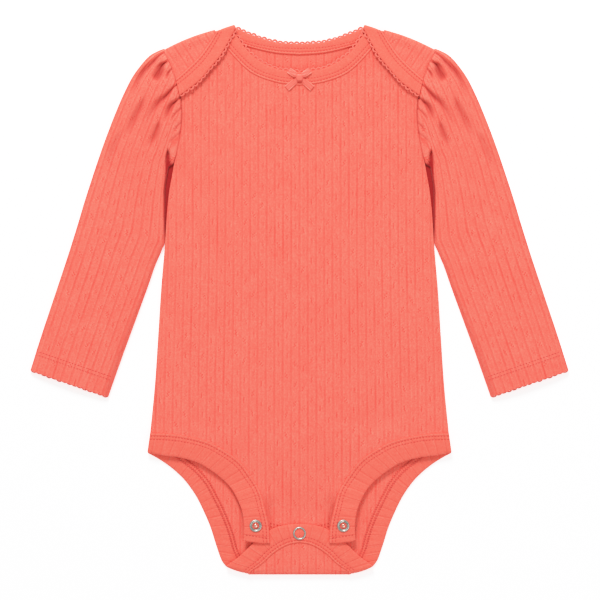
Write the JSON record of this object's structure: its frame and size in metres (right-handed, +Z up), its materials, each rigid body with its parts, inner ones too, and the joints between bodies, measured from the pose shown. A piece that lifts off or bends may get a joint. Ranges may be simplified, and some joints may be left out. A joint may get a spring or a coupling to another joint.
{
  "type": "baby bodysuit",
  "caption": "Long-sleeved baby bodysuit in rib knit, laid flat, with lapped shoulders, gathered sleeve caps, picot bands, a neck bow and crotch snaps.",
  "frame": {"origin": "on the surface the garment lies on, below the middle of its outline", "axes": "+Z up out of the surface, +Y from the crotch to the neck, +X to the right as seen from above; the garment mirrors across X = 0"},
  "size_m": [0.4174, 0.4284, 0.0086],
  "materials": {
    "rib_knit": "matte coral pointelle rib knit in cotton",
    "knit_band": "matte coral plain knit binding with twin needle stitching and picot edge",
    "satin_ribbon": "coral satin ribbon with a soft sheen",
    "snap_metal": "warm nickel, slightly dulled"
  },
  "bodies": {
    "root": {"back_panel": "rib_knit", "front_panel": "rib_knit", "sleeve_right": "rib_knit", "sleeve_left": "rib_knit", "front_neck_band": "knit_band", "back_neck_band": "knit_band", "lap_band_right": "knit_band", "lap_band_left": "knit_band", "front_leg_band_right": "knit_band", "front_leg_band_left": "knit_band", "back_leg_band_right": "knit_band", "back_leg_band_left": "knit_band", "flap_band": "knit_band", "bow_loop_right": "satin_ribbon", "bow_loop_left": "satin_ribbon", "bow_tail_right": "satin_ribbon", "bow_tail_left": "satin_ribbon", "bow_knot": "satin_ribbon", "snap_ring": "snap_metal", "snap_stud_right": "snap_metal", "snap_stud_left": "snap_metal"}
  },
  "joints": []
}
